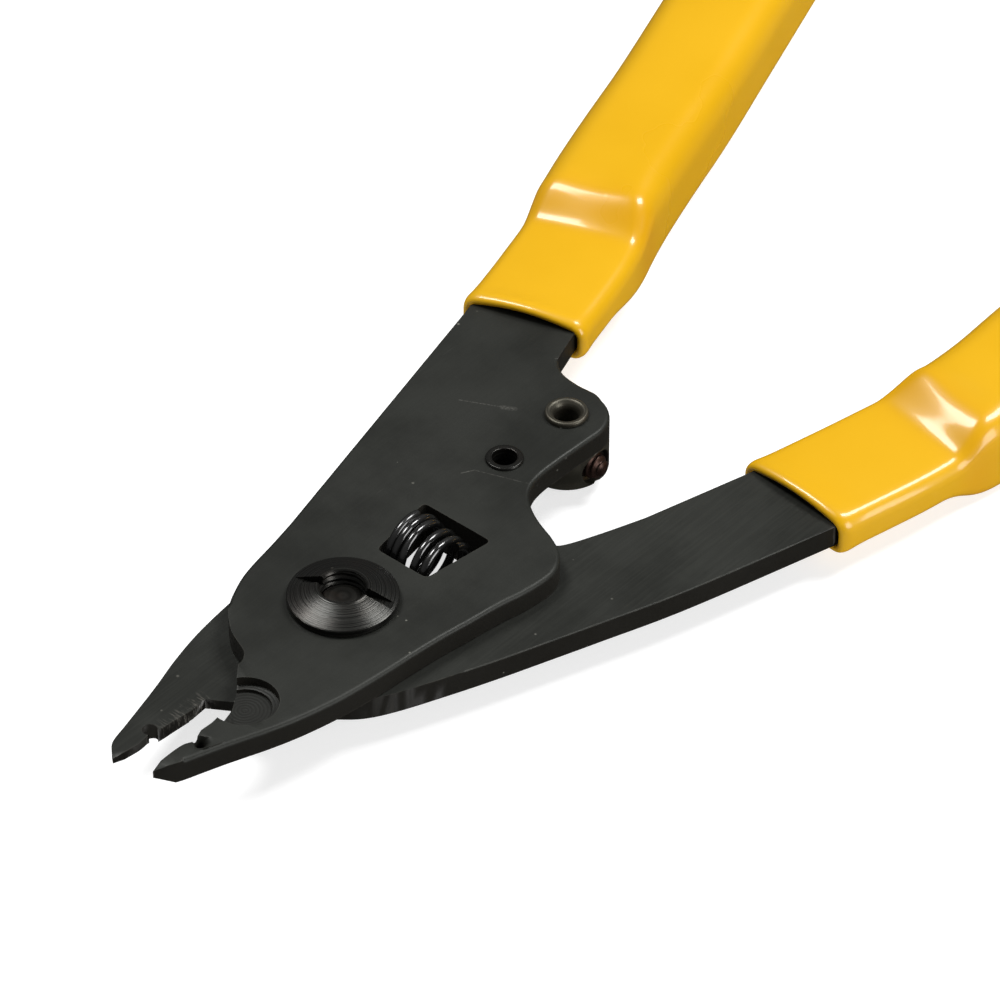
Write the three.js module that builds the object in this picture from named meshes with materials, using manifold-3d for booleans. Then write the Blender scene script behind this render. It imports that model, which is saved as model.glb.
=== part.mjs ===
// Hand wire stripper: two flat steel halves that cross at a pivot and slide face to face,
// a spring in a shared window that opens them, and slip-on vinyl grips.
// Millimetres. The pivot axis is Z and z = 0 is the back face of the pivot screw's head.
// The jaws point to -Y and the handles to +Y, shown fully open. The front half lies on top.

import * as THREE from 'three';
import { mergeVertices } from 'three/addons/utils/BufferGeometryUtils.js';
import Module from 'manifold-3d';

const wasm = await Module();
wasm.setup();

// ---- driving dimensions ----
const PLATE_THICK = 2.5;
const PLATE_GAP = 0.1;
const HEAD_THICK = 1.4;
const REAR_Z = HEAD_THICK + PLATE_GAP;
const FRONT_Z = REAR_Z + PLATE_THICK + PLATE_GAP;
const FRONT_TOP = FRONT_Z + PLATE_THICK;
const MID_Z = FRONT_Z - PLATE_GAP / 2;
const CLOSING_ANGLE = THREE.MathUtils.degToRad(16);

const PIVOT_BORE_R = 3.0;
const SHANK_R = 2.95;
const HEAD_R = 5.4;
const THREAD_R = 2.2;
const NUT = { rim_r: 5.6, rim_h: 0.8, ring_r: 2.9, height: 1.9, bore_r: 2.25, slot_wide: 1.0,
  slot_deep: 1.0 };
const SCREW_END_BELOW_NUT = 1.3;

const WINDOW = { x: 0.69, bottom_y: 7.83, top_y: 16.17, bottom_half: 3.27, top_half: 4.43, corner: 0.6 };
const SPRING = { axis_y: 12.0, coil_r: 3.3, wire_r: 0.42, turns: 3.4, end_gap: 0.15 };

const HALF_HOLE = { x: 24 * Math.tan(CLOSING_ANGLE / 2), y: -24.05, r: 0.77, small_r: 0.45, cone: 0.9 };
const POCKET = { x: 2.7, y: -17.1, r: 3.42, depth: 1.28, ledge_r: 2.7, ledge_up: 0.35 };
const BLADE_THICK = 1.3;
const FRONT_HEEL = [[0.5, -15.9], [1.75, -17.9], [2.2, -19.5], [2.45, -21.4], [2.4, -22.9], [2.75, -23.8]];
const REAR_HEEL = [[-0.4, -15.65], [2.35, -17.4], [2.2, -19.4], [2.45, -21.4], [2.6, -22.9]];
const FRONT_LIP = [[2.85, -24.7], [2.5, -25.5], [2.4, -27.1], [2.5, -29.7]];
const REAR_LIP = [[2.95, -24.9], [2.8, -26.0], [2.9, -27.2], [3.2, -29.4]];
const FRONT_BACK = [[3.3, -28.8], [4.05, -27.2], [4.8, -25.1], [5.6, -22.9], [6.35, -21.0], [7.3, -18.6]];
const REAR_BACK = [[3.95, -28.75], [4.9, -27.6], [5.6, -25.0], [6.4, -22.0], [7.3, -18.8]];

const STOP_POST = { x: -2.04, y: 36.04, boss_r: 4.4, boss_h: 4.1, neck_r: 1.9, ring_r: 2.25, ring_h: 0.55,
  hole_r: 1.38, hole_deep: 2.9 };
const STOP_SCREW = { z: 2.0, r: 1.45, clear_r: 1.5, turn: THREE.MathUtils.degToRad(-1), tip: 5.2, length: 8,
  point_r: 0.6, point_len: 1.0, socket_r: 0.75, socket_deep: 1.5 };
const LIMIT_PIN = { x: -2.19, y: 26.62, r: 2.0, neck_r: 1.7, ring_h: 0.3, hole_r: 1.3,
  bottom_z: REAR_Z + 0.1 };
const PIN_HOLE_CLEAR = 0.02;

// A handle's spine, in a frame whose Y axis runs along its flat tang, from the pivot.
const FRONT_HANDLE = {
  turn: THREE.MathUtils.degToRad(13.75), half_width: 6.9, core_half: 5.8,
  mouth: 47.2, step: 62.4, up: 2.75, down: 1.9,
  spine: [[-4.45, 36], [-4.5, 50], [-4.7, 57], [-5.1, 62], [-6.25, 71], [-7.0, 80], [-7.6, 89],
    [-9.0, 103], [-10.4, 117], [-12.0, 133]],
};
const REAR_HANDLE = {
  turn: THREE.MathUtils.degToRad(18.4), half_width: 6.8, core_half: 5.8,
  mouth: 48.3, step: 64.7, up: 1.9, down: 2.6,
  spine: [[-7.4, 36], [-7.35, 44], [-6.7, 52], [-6.0, 59], [-5.2, 65], [-4.6, 70.5], [-2.9, 76.5],
    [-0.8, 81.6], [2.4, 90], [6.8, 103], [10.2, 115], [13.2, 129]],
};
const GRIP = { step_len: 4.4, wall: 1.1, skin: 1.25, step_half: 6.65, length: 84.5, nose: 5.5, tip: 4.4,
  side_round: 3.3 };
const CORE = { into_mouth: 0.3, short: 6.5, web: 2.2, flange: 1.8, side: 1.25 };
const CAVITY_CLEAR = 0.15;

// ---- colours and surfaces ----
const BLACK_STEEL = { color: 0x33342f, roughness: 0.45, metalness: 0.6 };
const BROWN_STEEL = { color: 0x5a4640, roughness: 0.4, metalness: 0.7 };
const SPRING_STEEL = { color: 0x1b1b1b, roughness: 0.25, metalness: 0.7 };
const YELLOW_VINYL = { color: 0xf3b719, roughness: 0.25, metalness: 0.0 };

const group = new THREE.Group();

// ---- making and cutting solids ----
function toSolid(geometry) {
  const bare = geometry.clone();
  bare.deleteAttribute('normal');
  bare.deleteAttribute('uv');
  const merged = mergeVertices(bare, 1e-4);
  return new wasm.Manifold(new wasm.Mesh({
    numProp: 3,
    vertProperties: new Float32Array(merged.attributes.position.array),
    triVerts: new Uint32Array(merged.index.array),
  }));
}

function toGeometry(solid) {
  const mesh = solid.getMesh();
  const geometry = new THREE.BufferGeometry();
  geometry.setAttribute('position', new THREE.BufferAttribute(new Float32Array(mesh.vertProperties), 3));
  geometry.setIndex(new THREE.BufferAttribute(new Uint32Array(mesh.triVerts), 1));
  geometry.computeVertexNormals();
  return geometry;
}

function addPiece(name, geometry, look) {
  const mesh = new THREE.Mesh(geometry, new THREE.MeshStandardMaterial(look));
  mesh.name = name;
  group.add(mesh);
  return mesh;
}

function extrudeUp(shape, bottom, top, curveSegments = 5) {
  const depth = top - bottom;
  const geometry = new THREE.ExtrudeGeometry(shape, { depth, bevelEnabled: false, curveSegments });
  geometry.translate(0, 0, bottom);
  return geometry;
}

function disc(r, bottom, top, x = 0, y = 0, sides = 40) {
  const geometry = new THREE.CylinderGeometry(r, r, top - bottom, sides);
  geometry.rotateX(Math.PI / 2);
  geometry.translate(x, y, (top + bottom) / 2);
  return geometry;
}

// A solid of revolution about Z from [radius, height] pairs.
function turned(profile, sides = 40) {
  const geometry = new THREE.LatheGeometry(profile.map(([r, z]) => new THREE.Vector2(r, z)), sides);
  geometry.rotateX(Math.PI / 2);
  return geometry;
}

function vectors(points) {
  return points.map(([x, y]) => new THREE.Vector2(x, y));
}

// ---- outline of a half: one jaw, which both halves share, and what differs above it ----
// The jaw's cutting edge, from its heel by the pivot to its tip, then the back of the jaw.
function addJaw(outline, heel, lip, back) {
  [...heel, lip[0]].forEach(([x, y]) => outline.lineTo(x, y));
  outline.splineThru(vectors(lip.slice(1)));
  outline.lineTo(...back[0]);
  outline.splineThru(vectors([...back.slice(1), [8.3, -15.6], [9.2, -12.0], [9.75, -8.8], [10.2, -5.0],
    [10.5, -1.5], [10.95, 2.5], [11.5, 6.0], [12.05, 9.8], [12.65, 12.6], [12.95, 15.4], [12.75, 17.3],
    [11.9, 18.8], [10.6, 20.0], [8.9, 20.9]]));
}

// The edge below the pivot, where the two halves part at the throat.
function addThroat(outline) {
  outline.splineThru(vectors([[-5.2, -10.5], [-3.5, -11.3], [-2.2, -11.9], [-1.5, -12.8], [-1.3, -13.7]]));
}

function tangCorner(handle, side, distance) {
  const curve = spineCurve(handle);
  const t = (distance - handle.spine[0][1]) / curve.getLength();
  const centre = curve.getPointAt(t);
  const along = curve.getTangentAt(t);
  const reach = side * handle.core_half;
  return new THREE.Vector2(centre.x + reach * along.y, centre.y - reach * along.x);
}

function frontOutline() {
  const outline = new THREE.Shape();
  const topLeft = tangCorner(FRONT_HANDLE, -1, FRONT_HANDLE.mouth + 1);
  const topRight = tangCorner(FRONT_HANDLE, 1, FRONT_HANDLE.mouth + 1);
  outline.moveTo(topLeft.x, topLeft.y);
  outline.lineTo(-11.9, 5.3);
  outline.splineThru(vectors([[-11.15, 1.7], [-10.5, -1.8], [-9.8, -4.3], [-8.4, -7.3], [-6.9, -9.1]]));
  addThroat(outline);
  addJaw(outline, FRONT_HEEL, FRONT_LIP, FRONT_BACK);
  outline.splineThru(vectors([[6.6, 21.8], [4.8, 22.8], [3.4, 24.0], [2.5, 25.6], [2.15, 27.8],
    [2.15, 31.0]]));
  outline.lineTo(STOP_POST.x + STOP_POST.boss_r, STOP_POST.y);
  outline.absarc(STOP_POST.x, STOP_POST.y, STOP_POST.boss_r, 0, THREE.MathUtils.degToRad(75), false);
  outline.splineThru(vectors([[-2.1, 40.7], [-4.2, 40.6], [-6.3, 40.85], [-7.7, 41.5], [-8.6, 42.4]]));
  outline.lineTo(topRight.x, topRight.y);
  return outline;
}

// The rear half is drawn as it lies turned over, so that its jaw has the front jaw's outline.
function rearOutline() {
  const outline = new THREE.Shape();
  const topLeft = tangCorner(REAR_HANDLE, -1, REAR_HANDLE.mouth + 1);
  const topRight = tangCorner(REAR_HANDLE, 1, REAR_HANDLE.mouth + 1);
  const clearR = Math.hypot(LIMIT_PIN.x, LIMIT_PIN.y) - LIMIT_PIN.r - 1.3;
  const tabAngle = THREE.MathUtils.degToRad(80.7);
  const tabR = 28.5;
  outline.moveTo(topLeft.x, topLeft.y);
  outline.splineThru(vectors([[-22.8, 25.9], [-19.3, 16.1], [-17.3, 10.7], [-15.3, 5.4], [-13.2, 0.3],
    [-11.0, -4.6], [-9.2, -7.5], [-7.0, -9.5]]));
  addThroat(outline);
  addJaw(outline, REAR_HEEL, REAR_LIP, REAR_BACK);
  outline.lineTo(9.0, 26.9);
  outline.lineTo(tabR * Math.cos(tabAngle), tabR * Math.sin(tabAngle));
  outline.lineTo(clearR * Math.cos(tabAngle), clearR * Math.sin(tabAngle));
  outline.absarc(0, 0, clearR, tabAngle, THREE.MathUtils.degToRad(108), false);
  outline.splineThru(vectors([[-8.7, 22.5], [-10.4, 26.1], [-12.4, 31.4]]));
  outline.lineTo(topRight.x, topRight.y);
  return outline;
}

function windowShape(side) {
  const { x, bottom_y, top_y, bottom_half, top_half, corner } = WINDOW;
  const lean = (top_half - bottom_half) / (top_y - bottom_y);
  const low = bottom_half + corner * lean;
  const high = top_half - corner * lean;
  const shape = new THREE.Shape();
  shape.moveTo(-bottom_half + corner, bottom_y);
  shape.lineTo(bottom_half - corner, bottom_y);
  shape.quadraticCurveTo(bottom_half, bottom_y, low, bottom_y + corner);
  shape.lineTo(high, top_y - corner);
  shape.quadraticCurveTo(top_half, top_y, top_half - corner, top_y);
  shape.lineTo(-top_half + corner, top_y);
  shape.quadraticCurveTo(-top_half, top_y, -high, top_y - corner);
  shape.lineTo(-low, bottom_y + corner);
  shape.quadraticCurveTo(-bottom_half, bottom_y, -bottom_half + corner, bottom_y);
  return new THREE.Shape(shape.getPoints(3).map((p) => new THREE.Vector2(p.x + side * x, p.y)));
}

// The round pocket milled in the outer face of each jaw, with a ledge in its wall.
function pocketCutters(top) {
  const { x, y, r, depth, ledge_r, ledge_up } = POCKET;
  const wide = disc(r, top - depth + ledge_up, top + 1, x, y, 48);
  const floor = disc(ledge_r, top - depth, top + 1, x, y, 40);
  return [wide, floor];
}

// The front jaw's half-hole: wide at the outer face, narrow below, so that it closes on the fibre.
function conicalHole(bottom, top) {
  const { x, y, r, small_r, cone } = HALF_HOLE;
  const hole = turned([[0, bottom - 1], [small_r, bottom - 1], [small_r, top - cone], [r, top],
    [r, top + 1], [0, top + 1]], 24);
  hole.translate(x, y, 0);
  return hole;
}

// A slope ground off the rear jaw's outer face, which leaves its blade thin.
function bladeSlope(top) {
  const reach = 3.9;
  const slope = new THREE.BoxGeometry(12, 16, 4);
  slope.translate(-6, -8, 2);
  slope.rotateY(-Math.atan2(PLATE_THICK - BLADE_THICK, reach));
  slope.rotateZ(THREE.MathUtils.degToRad(-3));
  slope.translate(2.3 + reach, POCKET.y - 0.2, top);
  return slope;
}

// A bevel on a jaw's nose: what it takes off starts at y on the face at height z and deepens to the tip.
function noseBevel({ x, y, tilt, turn }, z, up) {
  const box = new THREE.BoxGeometry(12, 5, 4);
  box.translate(0, -2.5, 2 * up);
  box.rotateX(up * THREE.MathUtils.degToRad(tilt));
  box.rotateZ(THREE.MathUtils.degToRad(turn));
  box.translate(x, y, z);
  return box;
}

// ---- handles: sections set along a spine ----
function spineCurve(handle) {
  const points = handle.spine.map(([x, y]) => {
    const flat = new THREE.Vector2(x, y).rotateAround(new THREE.Vector2(), handle.turn);
    return new THREE.Vector3(flat.x, flat.y, 0);
  });
  return new THREE.CatmullRomCurve3(points, false, 'centripetal');
}

// A closed section with rounded corners, as [across, height] pairs.
function roundedSection(half, bottom, top, corner, steps) {
  const section = [];
  const centres = [[half - corner, top - corner], [-half + corner, top - corner],
    [-half + corner, bottom + corner], [half - corner, bottom + corner]];
  centres.forEach(([across, height], quarter) => {
    for (let i = 0; i <= steps; i += 1) {
      const angle = (quarter + i / steps) * Math.PI / 2;
      section.push([across + corner * Math.cos(angle), height + corner * Math.sin(angle)]);
    }
  });
  return section;
}

// Joins rings of equal count into one closed body with flat ends.
function loftRings(rings) {
  const count = rings[0].length;
  const positions = rings.flat().flatMap((p) => [p.x, p.y, p.z]);
  const index = [];
  for (let ring = 0; ring + 1 < rings.length; ring += 1) {
    for (let i = 0; i < count; i += 1) {
      const next = (i + 1) % count;
      const a = ring * count + i;
      const b = ring * count + next;
      index.push(a, a + count, b, b, a + count, b + count);
    }
  }
  const last = (rings.length - 1) * count;
  for (let i = 1; i + 1 < count; i += 1) {
    index.push(0, i, i + 1);
    index.push(last, last + i + 1, last + i);
  }
  const geometry = new THREE.BufferGeometry();
  geometry.setAttribute('position', new THREE.BufferAttribute(new Float32Array(positions), 3));
  geometry.setIndex(index);
  return geometry;
}

// Each station is { at, half, bottom, top, corner }, with at the distance from the pivot along the spine.
function loftAlong(handle, stations, steps) {
  const curve = spineCurve(handle);
  const start = handle.spine[0][1];
  const length = curve.getLength();
  const rings = stations.map((station) => {
    const t = Math.min((station.at - start) / length, 1);
    const centre = curve.getPointAt(t);
    const along = curve.getTangentAt(t);
    const across = new THREE.Vector3(along.y, -along.x, 0);
    const section = roundedSection(station.half, station.bottom, station.top, station.corner, steps);
    return section.map(([u, z]) => centre.clone().addScaledVector(across, u).setZ(z));
  });
  return loftRings(rings);
}

function spread(from, to, count) {
  return Array.from({ length: count }, (_, i) => from + (to - from) * i / (count - 1));
}

// Height of the pressed channel above the flat tang: a smooth ramp from 0 to 1.
function ramp(handle, at) {
  const t = THREE.MathUtils.clamp((at - handle.step) / GRIP.step_len, 0, 1);
  return t * t * (3 - 2 * t);
}

function coreEnd(handle) {
  return handle.mouth + GRIP.length - CORE.short;
}

// Where the sections of the core and of the cavity around it stand, so that both follow the same faces.
function corePlaces(handle) {
  const stepEnd = handle.step + GRIP.step_len;
  return [handle.mouth - 1, handle.mouth + 7, ...spread(handle.step, stepEnd, 5),
    ...spread(stepEnd + 3, coreEnd(handle), 9)];
}

function coreHalf(handle, at) {
  return THREE.MathUtils.lerp(handle.core_half, GRIP.step_half - CORE.side, ramp(handle, at));
}

// The steel inside the grip: the tang, then a pressed channel that is open on the side away from its web.
function coreSolid(handle, bottom, top) {
  const places = [handle.mouth + CORE.into_mouth, ...corePlaces(handle).slice(1)];
  const outer = places.map((at) => ({
    at, corner: 0.05, half: coreHalf(handle, at),
    bottom: bottom - handle.down * ramp(handle, at), top: top + handle.up * ramp(handle, at),
  }));
  const hollowPlaces = corePlaces(handle).filter((at) => at >= handle.step + GRIP.step_len);
  const hollow = [...hollowPlaces, coreEnd(handle) + 2].map((at) => ({
    at, corner: 0.05, half: GRIP.step_half - CORE.side - CORE.flange,
    bottom: bottom - handle.down - 1, top: top + handle.up - CORE.web,
  }));
  return toSolid(loftAlong(handle, outer, 1)).subtract(toSolid(loftAlong(handle, hollow, 1)));
}

// A slip-on sleeve: a tube with a closed, rounded end and a mouth that grips the tang.
function gripSolid(handle, bottom, top) {
  const { mouth, step } = handle;
  const stepEnd = step + GRIP.step_len;
  const noseStart = mouth + GRIP.length - GRIP.nose;
  const body = [mouth, mouth + 0.5, mouth + 7, ...spread(step, stepEnd, 7),
    ...spread(stepEnd + 3, noseStart, 13)];
  const skin = (at, rise) => THREE.MathUtils.lerp(GRIP.wall, rise + GRIP.skin, ramp(handle, at));
  const outer = body.map((at) => {
    const lip = at === mouth ? 0.3 : 0;
    return {
      at, half: THREE.MathUtils.lerp(handle.half_width, GRIP.step_half, ramp(handle, at)) - lip,
      bottom: bottom - skin(at, handle.down) + lip, top: top + skin(at, handle.up) - lip,
      corner: THREE.MathUtils.lerp(1.5, GRIP.side_round, ramp(handle, at)),
    };
  });
  [15, 35, 55, 72, 85].map(THREE.MathUtils.degToRad).forEach((angle) => {
    const inset = GRIP.tip * (1 - Math.cos(angle));
    outer.push({
      at: noseStart + GRIP.nose * Math.sin(angle), half: GRIP.step_half - inset,
      bottom: bottom - skin(noseStart, handle.down) + inset, top: top + skin(noseStart, handle.up) - inset,
      corner: GRIP.side_round - inset * 0.5,
    });
  });
  const cavity = [...corePlaces(handle), coreEnd(handle) + 0.5].map((at) => ({
    at, corner: 0.05, half: coreHalf(handle, at) + CAVITY_CLEAR,
    bottom: bottom - handle.down * ramp(handle, at) - CAVITY_CLEAR,
    top: top + handle.up * ramp(handle, at) + CAVITY_CLEAR,
  }));
  return toSolid(loftAlong(handle, outer, 5)).subtract(toSolid(loftAlong(handle, cavity, 1)));
}

// ---- pieces ----
function halfSolid(outline, handle, bottom, top, windowSide, ownCutters) {
  let solid = toSolid(extrudeUp(outline, bottom, top));
  const cutters = [extrudeUp(windowShape(windowSide), bottom - 1, top + 1), ...pocketCutters(top),
    ...ownCutters];
  for (const cutter of cutters) {
    solid = solid.subtract(toSolid(cutter));
  }
  return solid.add(coreSolid(handle, bottom, top));
}

function addFrontHalf() {
  const cutters = [
    conicalHole(FRONT_Z, FRONT_TOP),
    noseBevel({ x: 3, y: -28.6, tilt: 26, turn: -8 }, FRONT_TOP, 1),
    noseBevel({ x: 2.6, y: -28.4, tilt: 45, turn: 24 }, FRONT_Z, -1),
    disc(SHANK_R + PIN_HOLE_CLEAR, FRONT_Z - 1, FRONT_TOP + 1),
    disc(STOP_POST.neck_r + PIN_HOLE_CLEAR, FRONT_Z - 1, FRONT_TOP + 1, STOP_POST.x, STOP_POST.y, 32),
    disc(LIMIT_PIN.neck_r + PIN_HOLE_CLEAR, FRONT_Z - 1, FRONT_TOP + 1, LIMIT_PIN.x, LIMIT_PIN.y, 32),
  ];
  const solid = halfSolid(frontOutline(), FRONT_HANDLE, FRONT_Z, FRONT_TOP, 1, cutters);
  addPiece('front_half', toGeometry(solid), BLACK_STEEL);
  const grip = gripSolid(FRONT_HANDLE, FRONT_Z, FRONT_TOP);
  addPiece('front_grip', toGeometry(grip), YELLOW_VINYL);
}

// The rear half is made face up about its own middle and turned over about Y.
function addRearHalf() {
  const half = PLATE_THICK / 2;
  const cutters = [bladeSlope(half), disc(PIVOT_BORE_R, -2, 2),
    disc(HALF_HOLE.r, -2, 2, HALF_HOLE.x, HALF_HOLE.y, 28),
    noseBevel({ x: 3, y: -26.6, tilt: 15, turn: -20 }, half - PLATE_THICK + BLADE_THICK, 1),
    noseBevel({ x: 5.1, y: -30.3, tilt: 12, turn: -80 }, half - PLATE_THICK + BLADE_THICK, 1)];
  const pieces = [
    ['rear_half', halfSolid(rearOutline(), REAR_HANDLE, -half, half, -1, cutters), BLACK_STEEL],
    ['rear_grip', gripSolid(REAR_HANDLE, -half, half), YELLOW_VINYL],
  ];
  for (const [name, solid, look] of pieces) {
    const geometry = toGeometry(solid);
    geometry.rotateY(Math.PI);
    geometry.translate(0, 0, REAR_Z + half);
    addPiece(name, geometry, look);
  }
}

function addPivot() {
  const end = FRONT_TOP + NUT.height - SCREW_END_BELOW_NUT;
  addPiece('pivot_screw', turned([[0, 0], [HEAD_R - 0.4, 0], [HEAD_R, 0.4], [HEAD_R, HEAD_THICK],
    [SHANK_R, HEAD_THICK], [SHANK_R, FRONT_TOP - 0.1], [THREAD_R, FRONT_TOP - 0.1], [THREAD_R, end - 0.35],
    [THREAD_R - 0.5, end - 0.1], [0, end]]), BROWN_STEEL);
  const { rim_r, rim_h, ring_r, height, bore_r, slot_wide, slot_deep } = NUT;
  const body = turned([[bore_r, 0], [rim_r - 0.1, 0], [rim_r, 0.1], [rim_r, rim_h], [ring_r, height],
    [bore_r + 0.25, height], [bore_r, height - 0.25], [bore_r, 0]], 56);
  const slot = new THREE.BoxGeometry(3 * rim_r, slot_wide, 2 * slot_deep);
  slot.rotateZ(THREE.MathUtils.degToRad(20));
  slot.translate(0, 0, height);
  const geometry = toGeometry(toSolid(body).subtract(toSolid(slot)));
  geometry.translate(0, 0, FRONT_TOP);
  addPiece('pivot_nut', geometry, BLACK_STEEL);
}

// A curve that winds round the X axis between the two end walls of the window.
class SpringCurve extends THREE.Curve {
  constructor(halfLength) {
    super();
    this.halfLength = halfLength;
  }

  getPoint(t, target = new THREE.Vector3()) {
    const angle = t * SPRING.turns * 2 * Math.PI;
    const x = THREE.MathUtils.lerp(-this.halfLength, this.halfLength, t);
    return target.set(x, SPRING.coil_r * Math.cos(angle), SPRING.coil_r * Math.sin(angle));
  }
}

function addSpring() {
  const { bottom_y, top_y, bottom_half, top_half } = WINDOW;
  const lean = (top_half - bottom_half) / (top_y - bottom_y);
  const wallHalf = bottom_half + (SPRING.axis_y - SPRING.coil_r - bottom_y) * lean;
  const curve = new SpringCurve(wallHalf - SPRING.wire_r - SPRING.end_gap);
  const wire = new THREE.Shape();
  wire.absarc(0, 0, SPRING.wire_r, 0, 2 * Math.PI, false);
  const geometry = new THREE.ExtrudeGeometry(wire, {
    extrudePath: curve, steps: Math.round(SPRING.turns * 18), bevelEnabled: false, curveSegments: 8,
  });
  geometry.translate(WINDOW.x, SPRING.axis_y, MID_Z);
  addPiece('return_spring', geometry, SPRING_STEEL);
}

// Turns a solid made along +X so that it lies along the stop screw's axis.
function alongStopScrew(geometry) {
  geometry.rotateZ(STOP_SCREW.turn);
  geometry.translate(STOP_POST.x, STOP_POST.y, STOP_SCREW.z);
  return geometry;
}

function addStop() {
  const { x, y, boss_r, boss_h, neck_r, ring_r, ring_h, hole_r, hole_deep } = STOP_POST;
  const bossBottom = FRONT_Z - boss_h;
  const post = turned([[0, bossBottom], [boss_r - 0.3, bossBottom], [boss_r, bossBottom + 0.3],
    [boss_r, FRONT_Z], [neck_r, FRONT_Z], [neck_r, FRONT_TOP], [ring_r, FRONT_TOP],
    [ring_r, FRONT_TOP + ring_h - 0.15], [ring_r - 0.2, FRONT_TOP + ring_h],
    [hole_r, FRONT_TOP + ring_h], [hole_r, FRONT_TOP + ring_h - hole_deep],
    [0, FRONT_TOP + ring_h - hole_deep]], 36);
  post.translate(x, y, 0);
  const cross = disc(STOP_SCREW.clear_r, -8, 8, 0, 0, 28);
  cross.rotateY(Math.PI / 2);
  addPiece('stop_post', toGeometry(toSolid(post).subtract(toSolid(alongStopScrew(cross)))), BROWN_STEEL);

  const { r, tip, length, point_r, point_len, socket_r, socket_deep } = STOP_SCREW;
  const tail = tip - length;
  const screw = turned([[0, tail + socket_deep], [socket_r, tail + socket_deep], [socket_r, tail],
    [r - 0.2, tail], [r, tail + 0.2], [r, tip - point_len], [point_r, tip], [0, tip]], 28);
  screw.rotateY(Math.PI / 2);
  addPiece('stop_screw', alongStopScrew(screw), BROWN_STEEL);
}

function addLimitPin() {
  const { x, y, r, neck_r, ring_h, hole_r, bottom_z } = LIMIT_PIN;
  const pin = turned([[hole_r, bottom_z], [r, bottom_z], [r, FRONT_Z], [neck_r, FRONT_Z],
    [neck_r, FRONT_TOP], [r, FRONT_TOP], [r - 0.1, FRONT_TOP + ring_h], [hole_r, FRONT_TOP + ring_h],
    [hole_r, bottom_z]], 36);
  pin.translate(x, y, 0);
  addPiece('limit_pin', pin, BLACK_STEEL);
}

addFrontHalf();
addRearHalf();
addPivot();
addSpring();
addStop();
addLimitPin();

export default group;
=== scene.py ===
"""A plier-type wire stripper: two flat steel halves on a screw pivot, held open by a small coil
spring, with slip-on vinyl sleeves. It lies open on a pale table under soft studio light."""

import math

import bmesh
import bpy
import numpy as np
from mathutils import Matrix, Vector


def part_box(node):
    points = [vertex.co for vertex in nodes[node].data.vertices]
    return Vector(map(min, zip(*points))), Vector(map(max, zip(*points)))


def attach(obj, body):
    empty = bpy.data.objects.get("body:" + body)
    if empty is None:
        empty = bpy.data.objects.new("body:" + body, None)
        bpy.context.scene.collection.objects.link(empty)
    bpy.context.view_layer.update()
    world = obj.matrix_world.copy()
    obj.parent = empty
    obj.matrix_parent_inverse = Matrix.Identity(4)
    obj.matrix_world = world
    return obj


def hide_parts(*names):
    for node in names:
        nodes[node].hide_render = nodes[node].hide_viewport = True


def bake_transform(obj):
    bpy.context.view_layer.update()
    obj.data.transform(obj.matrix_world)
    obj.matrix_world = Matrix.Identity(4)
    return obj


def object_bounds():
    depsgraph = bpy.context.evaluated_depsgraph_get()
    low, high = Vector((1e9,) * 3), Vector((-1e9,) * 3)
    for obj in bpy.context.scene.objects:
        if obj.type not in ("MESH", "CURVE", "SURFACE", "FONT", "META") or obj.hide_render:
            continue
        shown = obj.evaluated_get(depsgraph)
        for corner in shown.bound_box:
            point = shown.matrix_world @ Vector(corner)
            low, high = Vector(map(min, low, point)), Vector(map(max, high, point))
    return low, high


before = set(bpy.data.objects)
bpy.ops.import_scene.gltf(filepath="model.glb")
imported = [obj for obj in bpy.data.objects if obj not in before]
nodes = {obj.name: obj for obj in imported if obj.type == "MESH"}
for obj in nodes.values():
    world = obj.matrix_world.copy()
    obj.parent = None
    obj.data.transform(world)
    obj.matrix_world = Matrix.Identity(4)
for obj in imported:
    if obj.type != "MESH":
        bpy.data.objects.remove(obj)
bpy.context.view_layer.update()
MM = 0.001
scene = bpy.context.scene


# ---------------------------------------------------------------------------------------------
# The two steel halves. Each is stamped from 2.5 mm plate, tumbled so that its edges are soft,
# ground at the jaw, and blackened. They lie face to face and slide past each other.
# ---------------------------------------------------------------------------------------------
def shown(red, green, blue):
    """A colour as seen on a screen, 0 to 255 each, as the linear values that a shader takes."""
    linear = []
    for value in (red, green, blue):
        c = value / 255
        linear.append(c / 12.92 if c <= 0.04045 else ((c + 0.055) / 1.055) ** 2.4)
    return (*linear, 1)


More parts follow.
